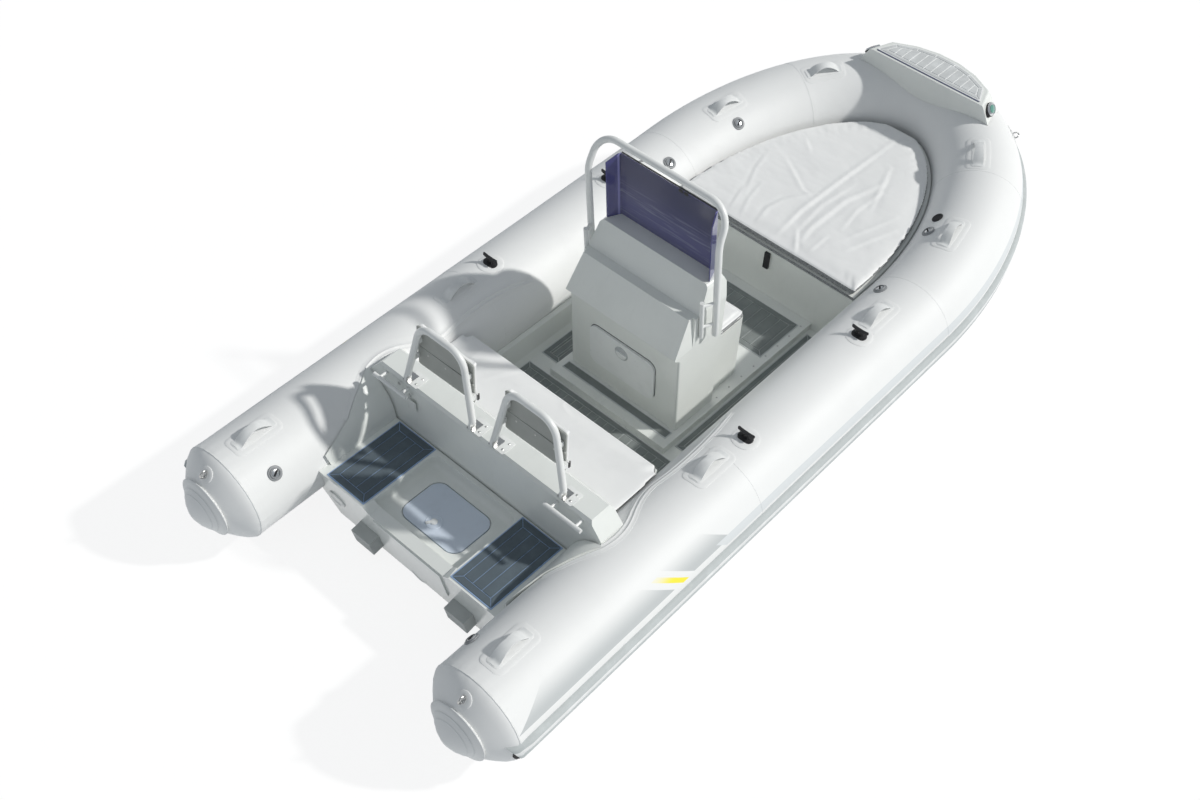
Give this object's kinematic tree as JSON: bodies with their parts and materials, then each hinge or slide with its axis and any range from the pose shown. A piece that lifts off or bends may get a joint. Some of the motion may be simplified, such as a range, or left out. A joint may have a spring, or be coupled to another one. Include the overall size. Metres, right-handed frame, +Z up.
{
  "type": "inflatable rib boat",
  "caption": "Rigid-hulled inflatable boat with centre console, windscreen, handrail, lockers under cushioned seats and a U-shaped buoyancy tube.",
  "frame": {"origin": "centreline at the waterline, below the aft top edge of the transom", "axes": "+X forward along the boat, +Y to port, +Z up; the waterline is the plane Z = 0"},
  "size_m": [4.7588, 2.0992, 1.698],
  "materials": {
    "gelcoat": "gloss moulded gelcoat",
    "lid_panel": "gloss moulded panel",
    "hatch_plastic": "satin moulded plastic",
    "tube_fabric": "satin coated fabric",
    "handle_rubber": "satin rubber",
    "strake_rubber": "satin rubber",
    "upholstery": "coated cover over foam",
    "foam_deck": "matt brushed foam sheet",
    "white_rail": "satin powder coat",
    "steel": "polished stainless steel",
    "lamp_chrome": "chrome bezel",
    "tinted_screen": "tinted clear sheet",
    "black_plastic": "satin plastic",
    "black_rubber": "matt rubber"
  },
  "bodies": {
    "boat": {"hull": "gelcoat", "transom": "gelcoat", "deck": "gelcoat", "aft_well": "gelcoat", "stern_beam": "gelcoat", "seat_base": "gelcoat", "bow_locker": "gelcoat", "console": "gelcoat", "fore_seat_base": "gelcoat", "tube_port": "tube_fabric", "tube_starboard": "tube_fabric", "tube_bow": "tube_fabric", "cone_port": "tube_fabric", "cone_starboard": "tube_fabric", "rub_strake_port": "strake_rubber", "rub_strake_starboard": "strake_rubber", "rub_strake_bow": "strake_rubber", "bow_chock": "gelcoat", "bow_step_pad": "foam_deck", "nav_lights": "lamp_chrome", "windscreen": "tinted_screen", "handrail": "white_rail", "backrest_brackets": "steel", "deck_pads": "foam_deck", "step_pads": "foam_deck", "handles": "handle_rubber", "valves": "steel", "cleats": "black_plastic", "bow_rings": "steel", "tow_eyes": "steel", "grab_rails": "white_rail", "scuppers": "gelcoat", "locker_latch": "black_rubber"},
    "bow_lid": {"bow_lid": "lid_panel", "bow_cushion": "upholstery"},
    "seat_lid": {"seat_lid": "lid_panel", "seat_cushion": "upholstery"},
    "fore_seat_lid": {"fore_seat_lid": "lid_panel", "fore_seat_cushion": "upholstery"},
    "console_hatch": {"console_hatch": "hatch_plastic"},
    "well_hatch": {"well_hatch": "hatch_plastic"},
    "backrest_port": {"hoop_port": "white_rail", "backrest_port": "upholstery"},
    "backrest_starboard": {"hoop_starboard": "white_rail", "backrest_starboard": "upholstery"}
  },
  "joints": [
    {"name": "bow_lid_hinge", "type": "hinge", "parent": "boat", "child": "bow_lid", "pos_m": [3.697, 0, 0.546], "axis": [0, 1, 0], "range_deg": [0, 65]},
    {"name": "seat_lid_hinge", "type": "hinge", "parent": "boat", "child": "seat_lid", "pos_m": [0.612, 0, 0.528], "axis": [0, -1, 0], "range_deg": [0, 80]},
    {"name": "fore_seat_lid_hinge", "type": "hinge", "parent": "boat", "child": "fore_seat_lid", "pos_m": [1.702, 0, 0.608], "axis": [0, -1, 0], "range_deg": [0, 80]},
    {"name": "console_hatch_hinge", "type": "hinge", "parent": "boat", "child": "console_hatch", "pos_m": [1.3945, 0, 0.309], "axis": [0, -1, 0], "range_deg": [0, 100]},
    {"name": "well_hatch_hinge", "type": "hinge", "parent": "boat", "child": "well_hatch", "pos_m": [0.368, 0, 0.314], "axis": [0, 1, 0], "range_deg": [0, 85]},
    {"name": "backrest_port_pivot", "type": "hinge", "parent": "boat", "child": "backrest_port", "pos_m": [0.474, 0.271, 0.686], "axis": [0, -1, 0], "range_deg": [0, 85]},
    {"name": "backrest_starboard_pivot", "type": "hinge", "parent": "boat", "child": "backrest_starboard", "pos_m": [0.474, -0.271, 0.686], "axis": [0, -1, 0], "range_deg": [0, 85]}
  ]
}
